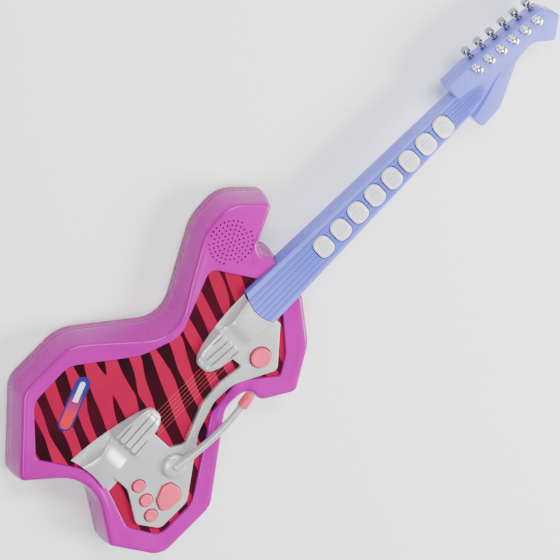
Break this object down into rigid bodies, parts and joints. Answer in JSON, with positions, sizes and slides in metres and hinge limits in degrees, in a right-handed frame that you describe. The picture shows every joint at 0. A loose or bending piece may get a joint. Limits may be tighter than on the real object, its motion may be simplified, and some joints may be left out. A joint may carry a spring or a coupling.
{
  "type": "toy electric guitar",
  "caption": "Toy electric guitar with finger buttons along the neck, push buttons and a spring-return whammy bar on a two-horned body, and tuning pegs on the headstock.",
  "frame": {"origin": "on the body's flat back, under the neck's centre line, between the two body halves' upper and lower bouts", "axes": "+Y along the neck towards the headstock, +Z out of the face with the buttons, +X towards the whammy bar"},
  "size_m": [0.2319, 0.6546, 0.0588],
  "materials": {
    "body_purple": "gloss",
    "body_purple_dark": "gloss",
    "panel_stripes": "high gloss, striped crimson and plum",
    "silver_plastic": "satin silver",
    "neck_lavender": "satin",
    "pearl": "pearl gloss",
    "pink": "satin gloss",
    "chrome": "polished",
    "dark_plastic": "matte",
    "steel": "plain",
    "speaker_paper": "matte",
    "board": "solder mask",
    "rubber_mat": "matte",
    "battery_case": "plain",
    "wire": "matte"
  },
  "bodies": {
    "guitar": {"front_shell": "body_purple", "back_shell": "body_purple_dark", "battery_door": "body_purple_dark", "decor_panel": "panel_stripes", "silver_bezel": "silver_plastic", "neck_front": "neck_lavender", "neck_back": "neck_lavender", "tuner_posts": "chrome", "tuner_bushings": "dark_plastic", "power_switch": "dark_plastic", "speaker_clamp": "dark_plastic", "shell_screws": "steel", "heel_screws": "steel", "head_screws": "steel", "board_screws": "steel", "battery_door_screw": "steel", "whammy_spring": "steel", "battery_contacts": "steel", "speaker_frame": "steel", "speaker_magnet": "steel", "speaker_cone": "speaker_paper", "main_board": "board", "button_board": "board", "neck_board": "board", "control_membrane": "rubber_mat", "round_membrane": "rubber_mat", "neck_membrane": "rubber_mat", "batteries": "battery_case", "speaker_leads": "wire", "battery_leads": "wire", "neck_lead": "wire"},
    "fret_button_1": {"fret_button_1": "pearl"},
    "fret_button_2": {"fret_button_2": "pearl"},
    "fret_button_3": {"fret_button_3": "pearl"},
    "fret_button_4": {"fret_button_4": "pearl"},
    "fret_button_5": {"fret_button_5": "pearl"},
    "fret_button_6": {"fret_button_6": "pearl"},
    "fret_button_7": {"fret_button_7": "pearl"},
    "fret_button_8": {"fret_button_8": "pearl"},
    "round_button": {"round_button": "pink"},
    "pad_button": {"pad_button": "pink"},
    "small_button_1": {"small_button_1": "pink"},
    "small_button_2": {"small_button_2": "pink"},
    "small_button_3": {"small_button_3": "pink"},
    "whammy": {"whammy_arm": "silver_plastic", "whammy_tip": "pink", "whammy_screw": "steel", "whammy_washer": "steel"},
    "tuner_peg_1": {"tuner_peg_1": "chrome"},
    "tuner_peg_2": {"tuner_peg_2": "chrome"},
    "tuner_peg_3": {"tuner_peg_3": "chrome"},
    "tuner_peg_4": {"tuner_peg_4": "chrome"},
    "tuner_peg_5": {"tuner_peg_5": "chrome"},
    "tuner_peg_6": {"tuner_peg_6": "chrome"},
    "power_knob": {"power_knob": "dark_plastic"}
  },
  "joints": [
    {"name": "fret_button_1_press", "type": "slide", "parent": "guitar", "child": "fret_button_1", "axis": [0, 0, -1], "range_m": [0, 0.0015], "stiffness_N_per_m": 300, "springref_m": -0.001},
    {"name": "fret_button_2_press", "type": "slide", "parent": "guitar", "child": "fret_button_2", "axis": [0, 0, -1], "range_m": [0, 0.0015], "stiffness_N_per_m": 300, "springref_m": -0.001},
    {"name": "fret_button_3_press", "type": "slide", "parent": "guitar", "child": "fret_button_3", "axis": [0, 0, -1], "range_m": [0, 0.0015], "stiffness_N_per_m": 300, "springref_m": -0.001},
    {"name": "fret_button_4_press", "type": "slide", "parent": "guitar", "child": "fret_button_4", "axis": [0, 0, -1], "range_m": [0, 0.0015], "stiffness_N_per_m": 300, "springref_m": -0.001},
    {"name": "fret_button_5_press", "type": "slide", "parent": "guitar", "child": "fret_button_5", "axis": [0, 0, -1], "range_m": [0, 0.0015], "stiffness_N_per_m": 300, "springref_m": -0.001},
    {"name": "fret_button_6_press", "type": "slide", "parent": "guitar", "child": "fret_button_6", "axis": [0, 0, -1], "range_m": [0, 0.0015], "stiffness_N_per_m": 300, "springref_m": -0.001},
    {"name": "fret_button_7_press", "type": "slide", "parent": "guitar", "child": "fret_button_7", "axis": [0, 0, -1], "range_m": [0, 0.0015], "stiffness_N_per_m": 300, "springref_m": -0.001},
    {"name": "fret_button_8_press", "type": "slide", "parent": "guitar", "child": "fret_button_8", "axis": [0, 0, -1], "range_m": [0, 0.0015], "stiffness_N_per_m": 300, "springref_m": -0.001},
    {"name": "round_button_press", "type": "slide", "parent": "guitar", "child": "round_button", "axis": [0, 0, -1], "range_m": [0, 0.0015], "stiffness_N_per_m": 300, "springref_m": -0.001},
    {"name": "pad_button_press", "type": "slide", "parent": "guitar", "child": "pad_button", "axis": [0, 0, -1], "range_m": [0, 0.0015], "stiffness_N_per_m": 300, "springref_m": -0.001},
    {"name": "small_button_1_press", "type": "slide", "parent": "guitar", "child": "small_button_1", "axis": [0, 0, -1], "range_m": [0, 0.0015], "stiffness_N_per_m": 300, "springref_m": -0.001},
    {"name": "small_button_2_press", "type": "slide", "parent": "guitar", "child": "small_button_2", "axis": [0, 0, -1], "range_m": [0, 0.0015], "stiffness_N_per_m": 300, "springref_m": -0.001},
    {"name": "small_button_3_press", "type": "slide", "parent": "guitar", "child": "small_button_3", "axis": [0, 0, -1], "range_m": [0, 0.0015], "stiffness_N_per_m": 300, "springref_m": -0.001},
    {"name": "whammy_swivel", "type": "hinge", "parent": "guitar", "child": "whammy", "pos_m": [0.0543, -0.0405, 0.043], "axis": [0, 0, 1], "range_deg": [-12, 12], "stiffness_Nm_per_rad": 0.35},
    {"name": "tuner_peg_1_turn", "type": "hinge", "parent": "guitar", "child": "tuner_peg_1", "pos_m": [-0.03, 0.42, 0.033], "axis": [-1, 0, 0], "continuous": true},
    {"name": "tuner_peg_2_turn", "type": "hinge", "parent": "guitar", "child": "tuner_peg_2", "pos_m": [-0.03, 0.4341, 0.033], "axis": [-1, 0, 0], "continuous": true},
    {"name": "tuner_peg_3_turn", "type": "hinge", "parent": "guitar", "child": "tuner_peg_3", "pos_m": [-0.03, 0.4482, 0.033], "axis": [-1, 0, 0], "continuous": true},
    {"name": "tuner_peg_4_turn", "type": "hinge", "parent": "guitar", "child": "tuner_peg_4", "pos_m": [-0.03, 0.4623, 0.033], "axis": [-1, 0, 0], "continuous": true},
    {"name": "tuner_peg_5_turn", "type": "hinge", "parent": "guitar", "child": "tuner_peg_5", "pos_m": [-0.03, 0.4764, 0.033], "axis": [-1, 0, 0], "continuous": true},
    {"name": "tuner_peg_6_turn", "type": "hinge", "parent": "guitar", "child": "tuner_peg_6", "pos_m": [-0.03, 0.4905, 0.033], "axis": [-1, 0, 0], "continuous": true},
    {"name": "power_slide", "type": "slide", "parent": "guitar", "child": "power_knob", "axis": [1, 0, 0], "range_m": [0, 0.004]}
  ]
}
